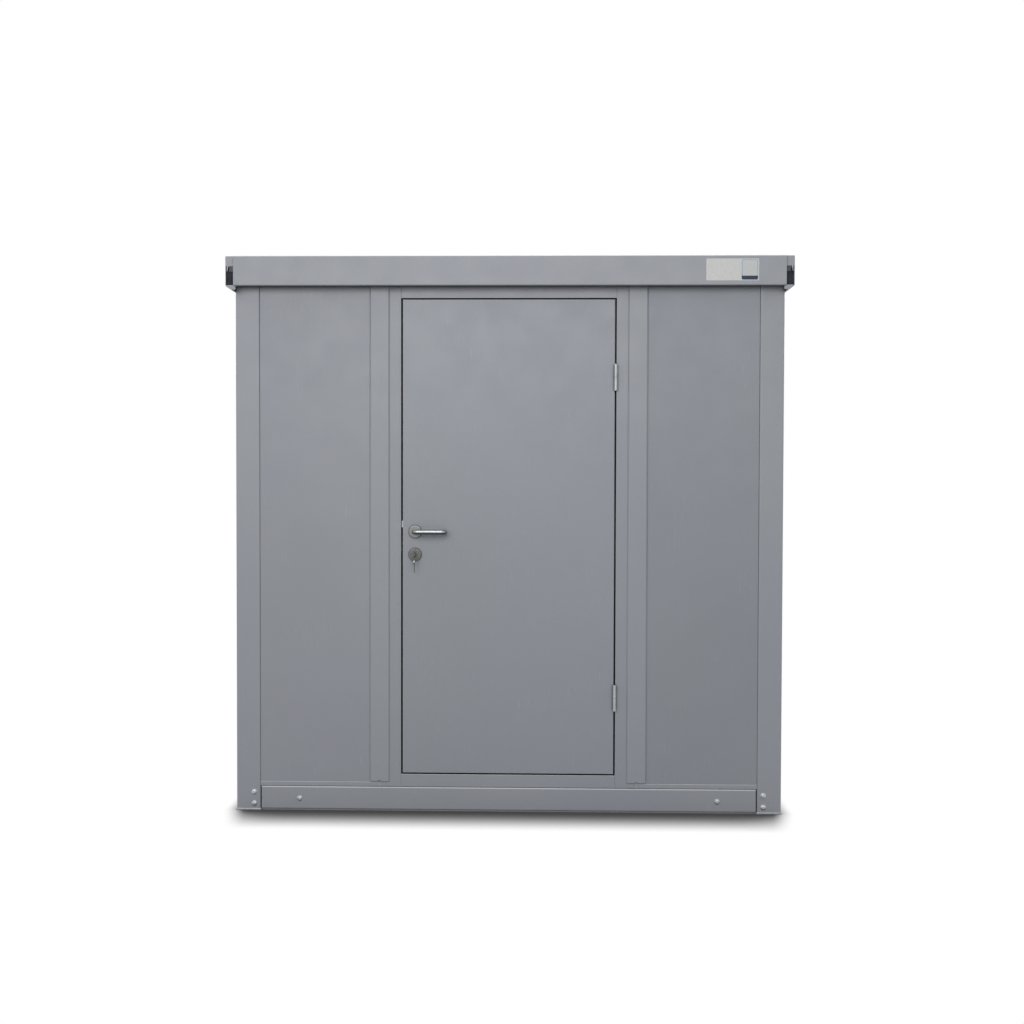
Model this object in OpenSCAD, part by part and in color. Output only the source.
// Portable office cabin: a small flat-packed steel cabin with one lockable door.
// Millimetres. X runs along the front, Y from the front to the back, Z up.
// The origin lies on the ground under the middle of the cabin.

/* [Body] */
// Width over the corner posts
body_w = 2250; // [1900:10:3200]
// Depth over the corner posts
body_d = 2250; // [1500:10:6000]
// Height from the ground to the top of the fascia
body_h = 2280; // [2260:5:2800]

/* [Corner posts] */
// Width of each outer face of a post
post_face = 99; // [80:1:140]
// How far a post stands out in front of the wall panels
post_proud = 4; // [2:0.5:8]
// Steel thickness of a post
post_t = 3; // [2:0.5:4]
// Outer radius of a post's folds
post_fold = 6; // [5:0.5:10]
// Thickness of the foot plate under a post
foot_t = 6; // [4:1:12]
// How far a foot plate stands out past its post, all round
foot_lap = 2; // [1:0.5:4]

/* [Base frame] */
// Height of the top of the base rails above the ground
rail_top = 100; // [80:1:160]
// Width of a rail's flanges
rail_flange = 80; // [70:1:100]
// Steel thickness of rails and joists
rail_t = 3; // [2:0.5:5]
// Outer radius of the folds of rails and joists
rail_fold = 5; // [4:0.5:8]
// How far a rail's face sits behind the posts' faces
rail_inset = 1; // [0:0.5:3]
// Gap between a rail's end and its post
rail_gap = 5; // [1:0.5:6]
// Width of the ground strip under a rail's outer edge
runner_w = 30; // [20:1:60]
// How far that strip is set back behind the rail's face
runner_set = 5; // [0:0.5:10]
// Width of a joist's flanges
joist_flange = 50; // [30:1:70]
// Distance from the body's side to the nearest joist
joist_edge = 261; // [200:1:400]
// Number of floor joists
joist_count = 5; // [3:1:7]
// Thickness of the floor deck
deck_t = 20; // [15:1:30]
// Gap between the floor deck and the wall tracks
deck_gap = 1.5; // [1:0.5:5]

/* [Walls] */
// Thickness of a wall panel
panel_t = 50; // [44:1:80]
// Width of the shadow groove in a panel beside a post
groove_w = 1; // [1:0.5:5]
// Depth of that groove
groove_d = 1.5; // [1:0.5:10]
// Sheet thickness of the tracks that the panels stand in
track_t = 1.5; // [1:0.5:2]
// Height of a track's lips above the rails
track_lip = 20; // [15:1:40]
// Radius of the fold along the lower edge of tracks and door frame
track_fold = 4; // [2:0.5:5]
// Width of the strips over the outer panel joints
strip_w = 80; // [50:1:120]
// Height of a strip's middle over its edges
strip_rise = 4; // [2:0.5:8]
// Width of a strip's sloping edges
strip_slope = 5; // [4:0.5:12]
// Sheet thickness of the outer strips
strip_t = 1.5; // [1:0.5:2]
// Radius of the notch in a strip's lower end
strip_notch = 5; // [3:0.5:10]
// Height of a strip's lower end above the rails
strip_lift = 24; // [2:1:60]
// Width of the strips over the inner panel joints
inner_strip_w = 60; // [40:1:100]
// Thickness of the inner strips
inner_strip_t = 1; // [1:0.5:2]

/* [Door frame] */
// Width of a jamb, from the opening to the wall panel
jamb_w = 88.5; // [60:0.5:120]
// Height of the sill above the rails
sill_h = 54; // [20:1:90]
// Gap around the door leaf
door_gap = 6.5; // [6:0.5:9]
// How far the door stop reaches behind the leaf
stop_cover = 14; // [12:1:25]
// Thickness of the door stop
stop_t = 5; // [3:0.5:8]
// Width of the rubber seal on the stop
seal_w = 10; // [6:0.5:11]
// Thickness of the seal
seal_t = 5; // [3:0.5:6]
// Clearance between the seal and the leaf
seal_clear = 5; // [5:0.5:7]
// Distance from the leaf's edge to the seal
seal_inset = 2; // [1:0.5:3]
// Radius of the folds around the door opening
frame_fold = 2; // [1:0.5:4]

/* [Door leaf] */
// Width of the leaf
leaf_w = 870; // [700:5:1200]
// Height of the leaf
leaf_h = 1950; // [1800:5:1960]
// Radius of the leaf's upright edges
leaf_fold = 2; // [1:0.5:4]

/* [Hinges] */
// Height of a hinge
hinge_h = 108; // [80:1:140]
// Radius of a knuckle
knuckle_r = 7.5; // [6.5:0.5:8]
// Radius of a hinge pin
pin_r = 4.5; // [3:0.5:5]
// Radial play between a pin and its knuckle
pin_play = 0.05; // [0.02:0.01:0.1]
// Gap between the two knuckles of a hinge
knuckle_gap = 1; // [0.5:0.5:2]
// Thickness of the closed end of the upper knuckle
knuckle_cap = 4.5; // [3:0.5:8]
// Space between the pin's tip and that closed end
pin_space = 3; // [1:0.5:6]
// Clearance between the knuckles and the leaf's outer face
hinge_clear = 1.5; // [1:0.5:4]
// Thickness of a hinge plate
plate_t = 2.5; // [2:0.25:3]
// How deep a hinge plate reaches along the leaf's edge
plate_depth = 30; // [15:1:34]
// Height of the lower hinge above the leaf's lower edge
hinge_low = 262; // [150:1:400]
// Distance of the upper hinge below the leaf's upper edge
hinge_high = 264; // [150:1:400]

/* [Lock and levers] */
// Distance from the leaf's edge to the handle's axis
backset = 51; // [45:1:70]
// Height of the handle's axis above the leaf's lower edge
handle_up = 998; // [800:1:1100]
// Distance from the handle's axis down to the cylinder's axis
cylinder_drop = 94.5; // [85:0.5:110]
// Radius of the round plates under levers and keyholes
rosette_r = 27; // [24:0.5:30]
// Thickness of these plates
rosette_t = 8; // [6:0.5:9]
// Radius of their outer edge
rosette_fold = 4; // [2:0.5:5]
// Radius of the lever's bar
lever_r = 10; // [8:0.5:11]
// Distance from the handle's axis to the lever's far end
lever_reach = 134; // [100:1:150]
// Distance from the leaf to the middle of the lever's bar
lever_out = 47; // [40:1:48]
// Bend radius of the lever's bar, to its middle
lever_bend = 15; // [12:1:20]
// How far the lever's end turns back towards the leaf
lever_return = 32; // [24:1:36]
// Size of the chamfer on the lever's end
lever_chamfer = 3; // [1:0.5:4]
// Radial play between the lever's neck and its plate
lever_play = 0.05; // [0.02:0.01:0.1]
// Distance between the lever's neck and the leaf
neck_clear = 1; // [0.5:0.5:2]
// Width of the square spindle
spindle_w = 8; // [7:1:9]
// Play of the spindle in the inner lever, on each side
spindle_play = 0.1; // [0.05:0.05:0.3]
// Radius of the hole that the spindle turns in
spindle_hole_r = 7; // [6.5:0.5:8]
// Thickness of the lock case
case_t = 16; // [15:0.5:18]
// Depth of the lock case behind its face plate
case_depth = 80; // [75:1:100]
// Height of the case above the latch
case_above = 17; // [8:1:30]
// Height of the case below the cylinder
case_below = 11; // [6:1:30]
// Width of the lock's face plate
forend_w = 24; // [20:1:28]
// Thickness of the face plate
forend_t = 3; // [2:0.5:4]
// How far the face plate reaches past the case
forend_over = 18; // [12:1:30]
// Thickness of the strike plate in the jamb
strike_t = 2; // [1.5:0.5:4]
// Height of the latch bolt
latch_h = 27; // [20:1:30]
// Thickness of the latch bolt
latch_t = 12; // [8:0.5:13]
// Height of the latch bolt's middle above the handle's axis
latch_up = 30.5; // [30:0.5:40]
// How far the latch bolt stands out of the leaf's edge
latch_show = 5; // [3:0.5:5.5]
// Length of the latch bolt inside the lock
latch_len = 50; // [40:1:60]
// Height of the dead bolt
bolt_h = 34; // [25:1:38]
// Thickness of the dead bolt
bolt_t = 10; // [8:0.5:12]
// Height of the dead bolt's middle above the cylinder's axis
bolt_up = 32; // [30:0.5:40]
// Length of the dead bolt
bolt_len = 55; // [45:1:65]
// How far the key throws the dead bolt
bolt_throw = 20; // [15:1:25]
// How far the drawn dead bolt sits inside the face plate
bolt_rest = 0.5; // [0.2:0.1:1]
// Play around the two bolts
bolt_play = 0.25; // [0.2:0.05:0.5]

/* [Cylinder and keys] */
// Radius of the cylinder's round part
cyl_r = 8.5; // [8.5:0.5:9]
// Width of the cylinder's lower web
cyl_web = 10; // [9:0.5:11]
// Distance from the cylinder's axis to the end of its web
cyl_low = 25; // [22:0.5:27]
// How far the cylinder stands out of the leaf on either side
cyl_show = 10; // [9:0.5:12]
// Play around the fixed cylinder
cyl_play = 0.3; // [0.1:0.1:0.5]
// Radius of the turning plug
plug_r = 6.5; // [6:0.5:7]
// Radial play of the plug
plug_play = 0.05; // [0.02:0.01:0.1]
// Length of the plug
plug_len = 29; // [28:1:32]
// Thickness of a key
key_t = 2.4; // [2:0.1:3]
// Radius of a key's bow
bow_r = 12; // [10:0.5:13]
// Width of a key's blade
blade_w = 8; // [6:0.5:9]
// Length of a key's blade past its bow
blade_len = 30; // [28:1:34]
// Depth of the cuts in a blade
blade_cut = 2; // [1:0.5:3]
// Length of blade that stays in front of the plug
blade_show = 4; // [3:0.5:8]
// Radius of the hole in a bow
bow_hole_r = 3.5; // [3:0.5:4.5]
// Distance from the bow's middle to its hole
bow_hole_up = 4; // [3:0.5:6]
// Play of a key in the plug, on each side
key_play = 0.2; // [0.1:0.05:0.4]
// Radius of the key ring, to the middle of its wire
ring_r = 11; // [10:0.5:14]
// Radius of the key ring's wire
wire_r = 1; // [0.8:0.1:1.3]
// Gap between the ring's wire and the edge of a bow's hole
wire_gap = 0.3; // [0.2:0.1:0.5]

/* [Roof] */
// Height of the fascia's face
fascia_h = 120; // [90:1:160]
// How far the fascia stands in front of the posts
fascia_out = 60; // [60:1:120]
// Width of the fascia's upper flange
fascia_flange = 100; // [80:1:140]
// How far each end of the fascia stays inside the posts' outer faces
fascia_short = 5; // [2:1:20]
// Width of the fascia's lower lip
fascia_lip = 14; // [8:1:25]
// Sheet thickness of fascias and eaves
edge_t = 2; // [1.5:0.5:3]
// Outer radius of the folds of fascias and eaves
edge_fold = 4; // [3:0.5:6]
// How far the eaves stand out past the side walls
eave_out = 29; // [20:1:60]
// Height of the sloping sheet under the eaves
eave_slope = 19; // [10:1:30]
// Width of the eaves' upper flange
eave_flange = 70; // [60:1:120]
// How far an eave's end sits behind the fascia's face
eave_set = 10; // [6:1:20]
// Height of the tab that closes the top of an eave's end
tab_h = 41; // [30:1:60]
// How far the plate at an eave's end reaches in under the fascia
plate_in = 12; // [5:1:30]
// Distance from an eave's end to the plug inside it
plug_set = 6; // [3:1:20]
// Thickness of that plug
plug_t = 20; // [10:1:30]
// Thickness of a roof panel between its ribs
roof_t = 40; // [30:1:80]
// Height of the roof panels' ribs
rib_h = 8; // [5:1:12]
// Width of a rib at its foot
rib_w = 44; // [30:1:60]
// Width of a rib at its top
rib_top_w = 24; // [15:1:29]
// Number of ribs on one roof panel
rib_count = 5; // [3:1:7]

/* [Hidden] */
$fn = 48;

// Steps in the arc of a sheet's fold
FOLD_STEPS = 4;
// Overshoot of a cut past the face it opens
CUT = 1;

PAINT = "#9599a1";
ZINC = "#c3c6c9";
STEEL = "#b5b3ad";
RUBBER = "#17181b";
PLYWOOD = "#8a7a62";

half_w = body_w / 2;
half_d = body_d / 2;
post_leg = post_proud + panel_t;
foot_w = post_face + 2 * foot_lap;
wall_in = post_leg + track_t;

// Heights
edge_top = body_h - edge_t;
rib_z = edge_top - edge_t;
roof_z = rib_z - rib_h;
wall_top = roof_z - roof_t;
fascia_z = body_h - fascia_h;
track_z = rail_top + track_t;
panel_z = rail_top + track_fold;
deck_top = rail_top + deck_t;
sill_top = rail_top + sill_h;
leaf_z = sill_top + door_gap;
leaf_top = leaf_z + leaf_h;
head_z = leaf_top + door_gap;

// Door frame, with y measured back from the posts' faces
open_half = leaf_w / 2 + door_gap;
frame_half = open_half + jamb_w;
frame_y = post_proud - track_t;
frame_back = wall_in;
leaf_t = frame_back - frame_y - stop_t - seal_t - seal_clear;
leaf_back = frame_y + leaf_t;
leaf_mid = frame_y + leaf_t / 2;
stop_y = frame_back - stop_t;
stop_reach = door_gap + stop_cover;

// Hinges
hinge_x = leaf_w / 2 + door_gap / 2;
hinge_y = frame_y - knuckle_r - hinge_clear;
knuckle_h = (hinge_h - knuckle_gap) / 2;
hinge_heights = [leaf_z + hinge_low, leaf_top - hinge_high - hinge_h];

// Lock
handle_x = backset - leaf_w / 2;
handle_z = leaf_z + handle_up;
cyl_z = handle_z - cylinder_drop;
latch_z = handle_z + latch_up;
bolt_z = cyl_z + bolt_up;
case_top = latch_z + latch_h / 2 + case_above;
case_low = cyl_z - cyl_low - case_below;
forend_low = case_low - forend_over;
forend_top = case_top + forend_over;
cyl_y = frame_y - cyl_show;

// Keys: the bow's middle, the ring's plane, and heights below the cylinder's axis
bow_y = cyl_y - blade_show - bow_r;
ring_y = bow_y - bow_hole_up;
wire_drop = bow_hole_r - wire_r - wire_gap;
ring_top = cyl_z - wire_drop;
ring_low = ring_top - 2 * ring_r;
spare_z = ring_low - wire_drop - bow_hole_up;

// Roof edges
eave_x = half_w + eave_out;
plug_z = fascia_z + edge_t;
fascia_half = half_w - fascia_short;
eave_half = half_d + fascia_out - eave_set;
tail_x = plate_in - half_w;
roof_half = eave_half - edge_t;

// ---- Folded sheet ----

function unit(v) = v / norm(v);
function left_of(v) = [-v[1], v[0]];
function turned(v, a) = [v[0] * cos(a) - v[1] * sin(a), v[0] * sin(a) + v[1] * cos(a)];
function turn_angle(u, v) = atan2(u[0] * v[1] - u[1] * v[0], u * v);
function reversed(list) = [for (i = [len(list) - 1 : -1 : 0]) list[i]];

// Points of the arc at b, for the line that runs beside a-b-c at the signed distance off
function bend(a, b, c, off, r) =
    let (
        u = unit(b - a),
        angle = turn_angle(u, unit(c - b)),
        inward = sign(angle) * left_of(u),
        centre = b - r * tan(abs(angle) / 2) * u + r * inward
    )
    [for (k = [0 : FOLD_STEPS])
        centre - (r - off * sign(angle)) * turned(inward, angle * k / FOLD_STEPS)];

// One side of a sheet whose middle follows the path
function sheet_side(path, off, r) = [
    path[0] + off * left_of(unit(path[1] - path[0])),
    for (i = [1 : len(path) - 2]) each bend(path[i - 1], path[i], path[i + 1], off, r),
    path[len(path) - 1] + off * left_of(unit(path[len(path) - 1] - path[len(path) - 2])),
];

// Section of a sheet of thickness t, folded along the path with an outer radius
module sheet(path, t, outer_r) {
    mid_r = outer_r - t / 2;
    polygon(concat(
        sheet_side(path, t / 2, mid_r),
        reversed(sheet_side(path, -t / 2, mid_r))
    ));
}

// Closed outline with the same rounding at each corner
module rounded(corners, r) {
    n = len(corners);
    polygon([for (i = [0 : n - 1])
        each bend(corners[(i + n - 1) % n], corners[i], corners[(i + 1) % n], 0, r)]);
}

// ---- Placing ----

// Extrudes a section drawn in Y and Z along X
module along_x(from, to) {
    translate([from, 0, 0]) rotate([90, 0, 90]) linear_extrude(to - from) children();
}

// Extrudes a section drawn in X and Z along Y
module along_y(from, to) {
    translate([0, to, 0]) rotate([90, 0, 0]) linear_extrude(to - from) children();
}

// Box between two corners
module block(low, high) {
    translate(low) cube(high - low);
}

// Wall frame: x along the wall, y back from the posts' outer faces
module on_front() { translate([0, -half_d, 0]) children(); }
module on_rear() { rotate(180) translate([0, -half_d, 0]) children(); }
module on_left() { rotate(-90) translate([0, -half_w, 0]) children(); }
module on_right() { rotate(90) translate([0, -half_w, 0]) children(); }

// ---- Base and floor ----

// Rail, with the strip that carries it on the ground between the foot plates
module rail(half) {
    mid = rail_inset + rail_t / 2;
    tip = rail_inset + rail_flange;
    top = rail_top - rail_t / 2;
    low = foot_t + rail_t / 2;
    reach = half - post_face - rail_gap;
    strip = half - post_face - foot_lap;
    color(PAINT) {
        along_x(-reach, reach)
            sheet([[tip, low], [mid, low], [mid, top], [tip, top]], rail_t, rail_fold);
        block([-strip, rail_inset + runner_set, 0],
            [strip, rail_inset + runner_set + runner_w, foot_t]);
    }
}

module floor_joists() {
    pitch = (body_w - 2 * joist_edge) / (joist_count - 1);
    reach = half_d - rail_inset - rail_flange;
    top = rail_top - rail_t / 2;
    low = foot_t + rail_t / 2;
    color(ZINC) for (i = [0 : joist_count - 1]) {
        x = joist_edge - half_w + i * pitch;
        along_y(-reach, reach) sheet(
            [[x + joist_flange, low], [x, low], [x, top], [x + joist_flange, top]],
            rail_t, rail_fold);
    }
}

module floor_deck() {
    x = half_w - wall_in - deck_gap;
    y = half_d - wall_in - deck_gap;
    color(PLYWOOD) block([-x, -y, rail_top], [x, y, deck_top]);
}

// ---- Corner posts ----

// L-shaped outline of a post, drawn in from its outer faces by inset
function post_corners(inset) = [
    [inset, inset], [post_face - inset, inset], [post_face - inset, post_leg - inset],
    [post_leg - inset, post_leg - inset], [post_leg - inset, post_face - inset],
    [inset, post_face - inset],
];

// Post with its foot plate, at the front left corner
module post() {
    color(PAINT) translate([-half_w, -half_d, 0]) {
        translate([0, 0, foot_t]) linear_extrude(wall_top - foot_t) difference() {
            rounded(post_corners(0), post_fold);
            rounded(post_corners(post_t), post_fold - post_t);
        }
        translate([-foot_lap, -foot_lap, 0]) cube([foot_w, foot_w, foot_t]);
    }
}

// ---- Walls ----

// Fold between the outer face and the underside of tracks and door frame
low_fold = bend([frame_y, sill_top], [frame_y, rail_top], [wall_in, rail_top], 0, track_fold);

// Track, as a U that the panels stand in, from one end to the other
module track(from, to) {
    lip = rail_top + track_lip;
    along_x(from, to) polygon(concat(
        low_fold,
        [[wall_in, rail_top], [wall_in, lip], [post_leg, lip], [post_leg, track_z]],
        reversed(bend([post_proud, lip], [post_proud, track_z], [post_leg, track_z], 0,
            track_fold - track_t)),
        [[post_proud, lip], [frame_y, lip]]
    ));
}

module panel_tracks() {
    x = half_w - post_face;
    y = half_d - post_face;
    color(PAINT) {
        on_front() track(-x, -frame_half);
        on_front() track(frame_half, x);
        on_rear() track(-x, x);
        on_left() track(-y, y);
        on_right() track(-y, y);
    }
}

// Panel between two places along a wall, with its groove at the end beside a post
module wall_panel(from, to, post_end) {
    mid = (from + to) / 2;
    half = (to - from) / 2;
    y = post_proud;
    color(PAINT) translate([mid, 0, panel_z]) mirror([post_end > 0 ? 1 : 0, 0, 0])
        linear_extrude(wall_top - panel_z) polygon([
            [-half, y + groove_d], [groove_w - half, y + groove_d], [groove_w - half, y],
            [half, y], [half, post_leg], [-half, post_leg],
        ]);
}

// Cover strip over an outer joint, with its edges on the tracks' lips
module outer_strip(x, top) {
    low = rail_top + strip_lift;
    base = frame_y - strip_t / 2;
    edge = strip_w / 2;
    flat = edge - strip_slope;
    difference() {
        translate([x, 0, low]) linear_extrude(top - low) sheet([
            [-edge, base], [-flat, base - strip_rise], [flat, base - strip_rise], [edge, base],
        ], strip_t, 2 * strip_t);
        along_y(base - 2 * strip_rise, base) translate([x, low]) circle(r = strip_notch);
    }
}

// Flat strip over an inner joint, between the floor and the ceiling
module inner_strip(x) {
    half = inner_strip_w / 2;
    block([x - half, wall_in, deck_top], [x + half, wall_in + inner_strip_t, wall_top]);
}

// The side walls' strips end under the eaves
module cover_strips_outside() {
    eave_low = fascia_z - eave_slope - edge_t - strip_rise;
    color(PAINT) {
        on_front() for (x = [-frame_half, frame_half]) outer_strip(x, wall_top);
        on_rear() outer_strip(0, wall_top);
        on_left() outer_strip(0, eave_low);
        on_right() outer_strip(0, eave_low);
    }
}

module cover_strips_inside() {
    color(PAINT) {
        on_front() for (x = [-frame_half, frame_half]) inner_strip(x);
        on_rear() inner_strip(0);
        on_left() inner_strip(0);
        on_right() inner_strip(0);
    }
}

// ---- Door frame ----

// Left jamb: a box section with the stop strip along its inner edge
module jamb() {
    difference() {
        translate([0, 0, rail_top]) linear_extrude(wall_top - rail_top) polygon(concat(
            [[-frame_half, frame_back], [-frame_half, frame_y]],
            bend([-frame_half, frame_y], [-open_half, frame_y], [-open_half, stop_y],
                0, frame_fold),
            [[-open_half, stop_y], [stop_reach - open_half, stop_y],
                [stop_reach - open_half, frame_back]]
        ));
        along_x(-frame_half - CUT, CUT - open_half) polygon(concat(
            low_fold,
            [[frame_y + track_fold, rail_top - CUT], [frame_y - CUT, rail_top - CUT],
                [frame_y - CUT, rail_top + track_fold]]
        ));
    }
}

// Space that a bolt moves in, from one x to another
module bolt_way(from, to, z, t, h) {
    block([from, leaf_mid - t / 2 - bolt_play, z - h / 2 - bolt_play],
        [to, leaf_mid + t / 2 + bolt_play, z + h / 2 + bolt_play]);
}

// Both bolts' ways through plate and case
module bolt_ways(from, to) {
    bolt_way(from, to, latch_z, latch_t, latch_h);
    bolt_way(from, to, bolt_z, bolt_t, bolt_h);
}

module door_jamb_left() {
    half = forend_w / 2;
    pocket = -open_half - bolt_throw - 2 * bolt_play;
    color(PAINT) on_front() difference() {
        jamb();
        block([-open_half - strike_t, leaf_mid - half, forend_low],
            [-open_half + CUT, leaf_mid + half, forend_top]);
        bolt_ways(pocket, -open_half);
    }
}

module door_jamb_right() {
    color(PAINT) on_front() mirror([1, 0, 0]) jamb();
}

module strike_plate() {
    half = forend_w / 2;
    color(STEEL) on_front() difference() {
        block([-open_half - strike_t, leaf_mid - half, forend_low],
            [-open_half, leaf_mid + half, forend_top]);
        bolt_ways(-open_half - strike_t - CUT, -open_half + CUT);
    }
}

module door_head() {
    inner = open_half - stop_reach;
    color(PAINT) on_front() {
        block([-open_half, frame_y, head_z], [open_half, stop_y, wall_top]);
        block([-inner, stop_y, head_z - stop_reach], [inner, frame_back, wall_top]);
    }
}

module door_sill() {
    inner = open_half - stop_reach;
    color(PAINT) on_front() {
        along_x(-open_half, open_half) polygon(concat(
            low_fold, [[stop_y, rail_top], [stop_y, sill_top], [frame_y, sill_top]]));
        block([-inner, stop_y, rail_top], [inner, frame_back, sill_top + stop_reach]);
    }
}

module door_seal() {
    outer = leaf_w / 2 - seal_inset;
    inner = outer - seal_w;
    color(RUBBER) on_front() difference() {
        block([-outer, stop_y - seal_t, leaf_z + seal_inset],
            [outer, stop_y, leaf_top - seal_inset]);
        block([-inner, stop_y - seal_t - CUT, leaf_z + seal_inset + seal_w],
            [inner, stop_y + CUT, leaf_top - seal_inset - seal_w]);
    }
}

// ---- Hinges ----

module hinge_frame_halves() {
    color(ZINC) on_front() for (z = hinge_heights) {
        translate([hinge_x, hinge_y, z]) {
            cylinder(r = knuckle_r, h = knuckle_h);
            cylinder(r = pin_r, h = hinge_h - knuckle_cap - pin_space);
        }
        block([open_half - plate_t, hinge_y, z],
            [open_half, frame_y + plate_depth, z + knuckle_h]);
    }
}

module hinge_door_halves() {
    low = knuckle_h + knuckle_gap;
    color(ZINC) on_front() for (z = hinge_heights) difference() {
        union() {
            translate([hinge_x, hinge_y, z + low]) cylinder(r = knuckle_r, h = knuckle_h);
            block([leaf_w / 2, hinge_y, z + low],
                [leaf_w / 2 + plate_t, frame_y + plate_depth, z + hinge_h]);
        }
        translate([hinge_x, hinge_y, z + low - CUT])
            cylinder(r = pin_r + pin_play, h = knuckle_h - knuckle_cap + CUT);
    }
}

// ---- Door leaf and lock ----

// Section of the lock cylinder, grown by play all round
module cylinder_section(play) {
    half = cyl_web / 2 + play;
    translate([handle_x, cyl_z]) {
        circle(r = cyl_r + play);
        translate([-half, -cyl_low - play]) square([2 * half, cyl_low + play]);
    }
}

// Round hole for the spindle between two depths
module spindle_hole(from, to) {
    along_y(from, to) translate([handle_x, handle_z]) circle(r = spindle_hole_r);
}

// Outline of the lock: face plate and case
module lock_block() {
    edge = -leaf_w / 2;
    plate = forend_w / 2;
    half = case_t / 2;
    block([edge, leaf_mid - plate, forend_low],
        [edge + forend_t, leaf_mid + plate, forend_top]);
    block([edge + forend_t, leaf_mid - half, case_low],
        [edge + forend_t + case_depth, leaf_mid + half, case_top]);
}

module door_leaf() {
    x = leaf_w / 2;
    color(PAINT) on_front() difference() {
        translate([0, 0, leaf_z]) linear_extrude(leaf_h)
            rounded([[-x, frame_y], [x, frame_y], [x, leaf_back], [-x, leaf_back]], leaf_fold);
        lock_block();
        spindle_hole(frame_y - CUT, leaf_back + CUT);
        along_y(frame_y - CUT, leaf_back + CUT) cylinder_section(cyl_play);
    }
}

module lock_case() {
    edge = -leaf_w / 2;
    color(STEEL) on_front() difference() {
        lock_block();
        bolt_way(edge - CUT, edge + latch_len + latch_show, latch_z, latch_t, latch_h);
        bolt_way(edge - CUT, edge + bolt_rest + bolt_len + bolt_play, bolt_z, bolt_t, bolt_h);
        spindle_hole(frame_y, leaf_back);
        along_y(frame_y, leaf_back) cylinder_section(cyl_play);
    }
}

module lock_cylinder() {
    color(STEEL) on_front() difference() {
        along_y(cyl_y, leaf_back + cyl_show) cylinder_section(0);
        along_y(cyl_y - CUT, cyl_y + plug_len) translate([handle_x, cyl_z])
            circle(r = plug_r + plug_play);
    }
}

// Round plate with a folded rim, standing on the leaf and facing the front
module rosette_disc() {
    rotate([90, 0, 0]) rotate_extrude() polygon(concat(
        [[0, 0], [rosette_r, 0]],
        bend([rosette_r, 0], [rosette_r, rosette_t], [0, rosette_t], 0, rosette_fold),
        [[0, rosette_t]]
    ));
}

// Both plates of one side, with the holes for neck and cylinder
module rosette_pair() {
    depth = rosette_t + 2 * CUT;
    difference() {
        translate([handle_x, 0, handle_z]) rosette_disc();
        along_y(CUT - depth, CUT) translate([handle_x, handle_z])
            circle(r = lever_r + lever_play);
    }
    difference() {
        translate([handle_x, 0, cyl_z]) rosette_disc();
        along_y(CUT - depth, CUT) cylinder_section(cyl_play);
    }
}

module rosettes() {
    color(STEEL) on_front() {
        translate([0, frame_y, 0]) rosette_pair();
        translate([0, leaf_back, 0]) mirror([0, 1, 0]) rosette_pair();
    }
}

// Round bar along X at the depth y
module lever_bar(from, to, y) {
    translate([from, y, 0]) rotate([0, 90, 0]) cylinder(r = lever_r, h = to - from);
}

// Lever for the front: the neck runs out along -Y, the bar along +X, and the end turns back
module lever() {
    tip = lever_reach - lever_r;
    bend_y = lever_bend - lever_out;
    end_y = lever_return - lever_out;
    along_y(bend_y, -neck_clear) circle(r = lever_r);
    translate([lever_bend, bend_y, 0]) rotate(180) rotate_extrude(angle = 90)
        translate([lever_bend, 0]) circle(r = lever_r);
    lever_bar(lever_bend, tip - lever_bend, -lever_out);
    translate([tip - lever_bend, bend_y, 0]) rotate(270) rotate_extrude(angle = 90)
        translate([lever_bend, 0]) circle(r = lever_r);
    translate([tip, 0, 0]) along_y(bend_y, end_y - lever_chamfer) circle(r = lever_r);
    translate([tip, end_y - lever_chamfer, 0]) rotate([-90, 0, 0])
        cylinder(r1 = lever_r, r2 = lever_r - lever_chamfer, h = lever_chamfer);
}

// Square spindle between two depths, grown by play all round
module spindle(from, to, play) {
    half = spindle_w / 2 + play;
    block([-half, from, -half], [half, to, half]);
}

module lever_outside() {
    color(STEEL) on_front() translate([handle_x, frame_y, handle_z]) {
        lever();
        spindle(-rosette_t, leaf_t + rosette_t, 0);
    }
}

module lever_inside() {
    socket = rosette_t + spindle_play;
    color(STEEL) on_front() translate([handle_x, leaf_back, handle_z]) difference() {
        mirror([0, 1, 0]) lever();
        spindle(0, socket, spindle_play);
    }
}

module latch_bolt() {
    tip = -leaf_w / 2 - latch_show;
    tail = latch_len - leaf_w / 2;
    front = leaf_mid - latch_t / 2;
    back = leaf_mid + latch_t / 2;
    nose = latch_show - bolt_rest;
    color(ZINC) on_front() translate([0, 0, latch_z - latch_h / 2]) linear_extrude(latch_h)
        polygon([[tip, front], [tail, front], [tail, back], [tip + nose, back],
            [tip, back - nose]]);
}

module dead_bolt() {
    tip = bolt_rest - leaf_w / 2;
    color(ZINC) on_front() block([tip, leaf_mid - bolt_t / 2, bolt_z - bolt_h / 2],
        [tip + bolt_len, leaf_mid + bolt_t / 2, bolt_z + bolt_h / 2]);
}

// ---- Cylinder plug and keys ----

module cylinder_plug() {
    half = key_t / 2 + key_play;
    slot = blade_w / 2 + key_play;
    depth = blade_len - blade_show + key_play;
    color(STEEL) on_front() translate([handle_x, 0, cyl_z]) difference() {
        along_y(cyl_y, cyl_y + plug_len - plug_play) circle(r = plug_r);
        block([-half, cyl_y - CUT, -slot], [half, cyl_y + depth, slot]);
    }
}

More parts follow.
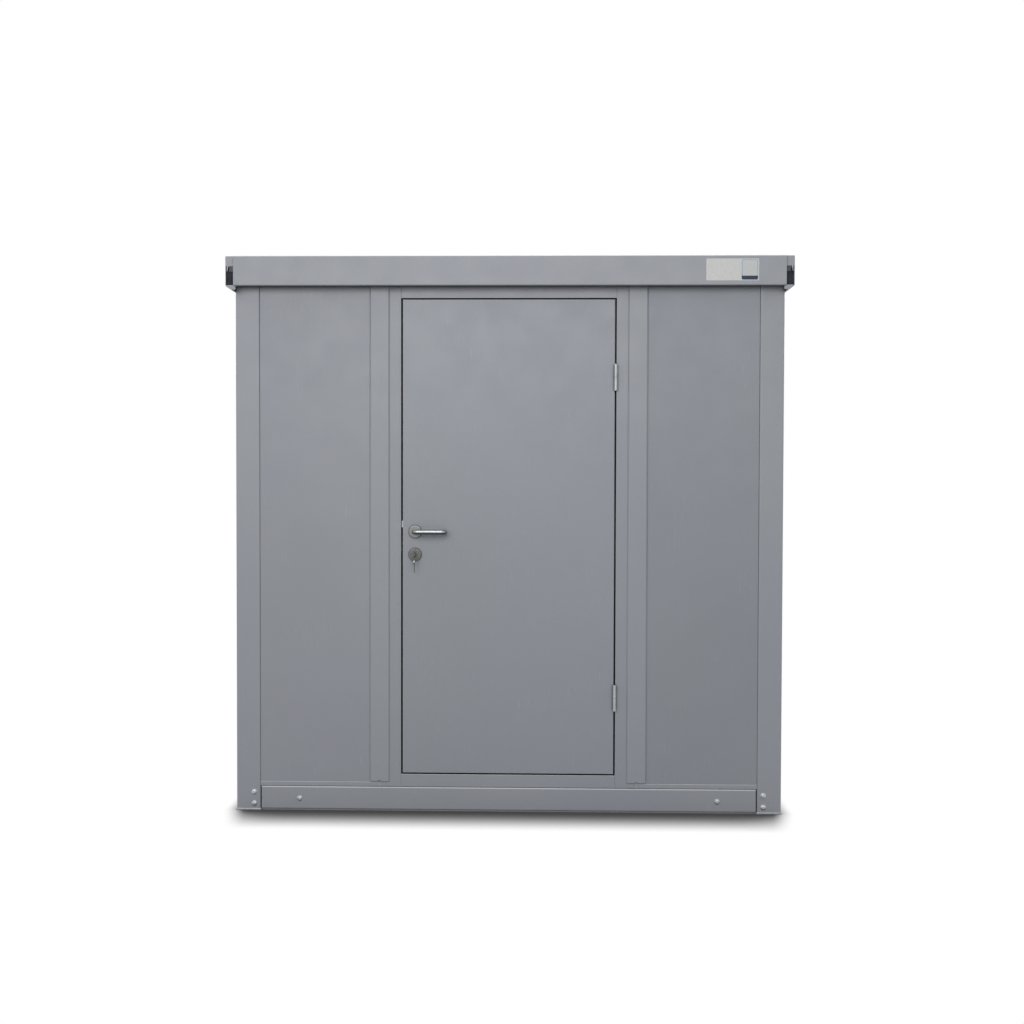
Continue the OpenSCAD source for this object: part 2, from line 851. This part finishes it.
// Key with its bow's middle at the origin and its blade along -Y, lying in the XY plane
module key_plate() {
    half = blade_w / 2;
    step = blade_len / 8;
    tip = -bow_r - blade_len;
    translate([0, 0, -key_t / 2]) linear_extrude(key_t) difference() {
        union() {
            circle(r = bow_r);
            polygon(concat(
                [[-half, 0], [-half, tip + half / 2], [-half / 2, tip], [half / 2, tip]],
                [for (i = [1 : 5]) [half - (i % 2) * blade_cut, tip + i * step]],
                [[half, tip + 6 * step], [half, 0]]
            ));
        }
        translate([0, bow_hole_up]) circle(r = bow_hole_r);
    }
}

module key() {
    color(ZINC) on_front() translate([handle_x, bow_y, cyl_z])
        rotate([0, 90, 0]) rotate(180) key_plate();
}

module key_ring() {
    color(ZINC) on_front() translate([handle_x, ring_y, ring_top - ring_r])
        rotate([90, 0, 0]) rotate_extrude() translate([ring_r, 0]) circle(r = wire_r);
}

module spare_key() {
    color(ZINC) on_front() translate([handle_x, ring_y, spare_z])
        rotate([90, 0, 90]) key_plate();
}

// ---- Roof ----

// Roof panel in front of the middle, with ribs from side to side
module roof_panel() {
    pitch = roof_half / rib_count;
    half = rib_w / 2;
    top_half = rib_top_w / 2;
    along_x(edge_fold - eave_x, eave_x - edge_fold) polygon(concat(
        [[0, wall_top], [-roof_half, wall_top], [-roof_half, roof_z]],
        [for (i = [0 : rib_count - 1]) let (y = (i + 0.5) * pitch - roof_half)
            each [[y - half, roof_z], [y - top_half, rib_z],
                [y + top_half, rib_z], [y + half, roof_z]]],
        [[0, roof_z]]
    ));
}

// Fascia: upper flange, face and lower lip, with end plates back to the wall
module fascia() {
    face = edge_t / 2 - fascia_out;
    top = body_h - edge_t / 2;
    low = fascia_z + edge_t / 2;
    back = fascia_flange - fascia_out;
    end = fascia_half - edge_t;
    behind = edge_t - fascia_out;
    color(PAINT) on_front() {
        along_x(-fascia_half, fascia_half) sheet(
            [[fascia_lip - fascia_out, low], [face, low], [face, top], [back, top]],
            edge_t, edge_fold);
        for (side = [0, 1]) mirror([side, 0, 0]) {
            block([end, behind, plug_z], [fascia_half, eave_set - fascia_out, edge_top]);
            block([end, behind, plug_z], [fascia_half, -edge_t, wall_top]);
        }
    }
}

// Left eave: flange, outer face, sloping under-sheet and a flange on the wall; at either end
// a tab above, and a plate that closes the slope and reaches in under the fascia
module eave() {
    face = edge_t / 2 - eave_x;
    wall = -half_w - edge_t / 2;
    tab = -fascia_half - edge_t / 2;
    under = fascia_z - edge_t / 2;
    top = rib_z + edge_t / 2;
    low = fascia_z - eave_slope;
    plate_low = low + edge_fold;
    color(PAINT) {
        along_y(-eave_half, eave_half) sheet([
            [eave_flange - eave_x, top], [face, top], [face, fascia_z], [wall, low],
            [wall, plug_z],
        ], edge_t, edge_fold);
        for (end = [0, 1]) mirror([0, end, 0]) {
            block([face, -eave_half, body_h - tab_h], [tab, edge_t - eave_half, body_h]);
            along_y(-eave_half, edge_t - eave_half) polygon(concat(
                [[face, plug_z], [face, fascia_z]],
                bend([face, fascia_z], [wall, low], [wall, plug_z], 0, edge_fold - edge_t / 2),
                [[wall, plate_low], [tail_x, plate_low], [tail_x, under], [tab, under],
                    [tab, plug_z]]
            ));
        }
    }
}

// Black plugs inside the open ends of the eaves
module eave_plugs() {
    front = plug_set - eave_half;
    color(RUBBER) for (side = [0, 1], end = [0, 1]) mirror([side, 0, 0]) mirror([0, end, 0])
        block([fascia_half, front, plug_z], [eave_x - edge_t, front + plug_t, wall_top]);
}

// ---- Nodes ----

on_front() rail(half_w);  // base_rail_front
on_rear() rail(half_w);  // base_rail_rear
on_left() rail(half_d);  // base_rail_left
on_right() rail(half_d);  // base_rail_right
floor_joists();
floor_deck();
post();  // corner_post_front_left
mirror([1, 0, 0]) post();  // corner_post_front_right
mirror([0, 1, 0]) post();  // corner_post_rear_left
rotate(180) post();  // corner_post_rear_right
panel_tracks();
on_front() wall_panel(post_face - half_w, -frame_half, -1);  // wall_panel_front_left
on_front() wall_panel(frame_half, half_w - post_face, 1);  // wall_panel_front_right
on_rear() wall_panel(0, half_w - post_face, 1);  // wall_panel_rear_left
on_rear() wall_panel(post_face - half_w, 0, -1);  // wall_panel_rear_right
on_left() wall_panel(0, half_d - post_face, 1);  // wall_panel_left_front
on_left() wall_panel(post_face - half_d, 0, -1);  // wall_panel_left_rear
on_right() wall_panel(post_face - half_d, 0, -1);  // wall_panel_right_front
on_right() wall_panel(0, half_d - post_face, 1);  // wall_panel_right_rear
cover_strips_outside();
cover_strips_inside();
door_jamb_left();
door_jamb_right();
door_head();
door_sill();
door_seal();
strike_plate();
hinge_frame_halves();
color(ZINC) roof_panel();  // roof_panel_front
color(ZINC) mirror([0, 1, 0]) roof_panel();  // roof_panel_rear
fascia();  // fascia_front
mirror([0, 1, 0]) fascia();  // fascia_rear
eave();  // eave_left
mirror([1, 0, 0]) eave();  // eave_right
eave_plugs();
door_leaf();
hinge_door_halves();
lock_case();
lock_cylinder();
rosettes();
lever_outside();
lever_inside();
latch_bolt();
dead_bolt();
cylinder_plug();
key();
key_ring();
spare_key();
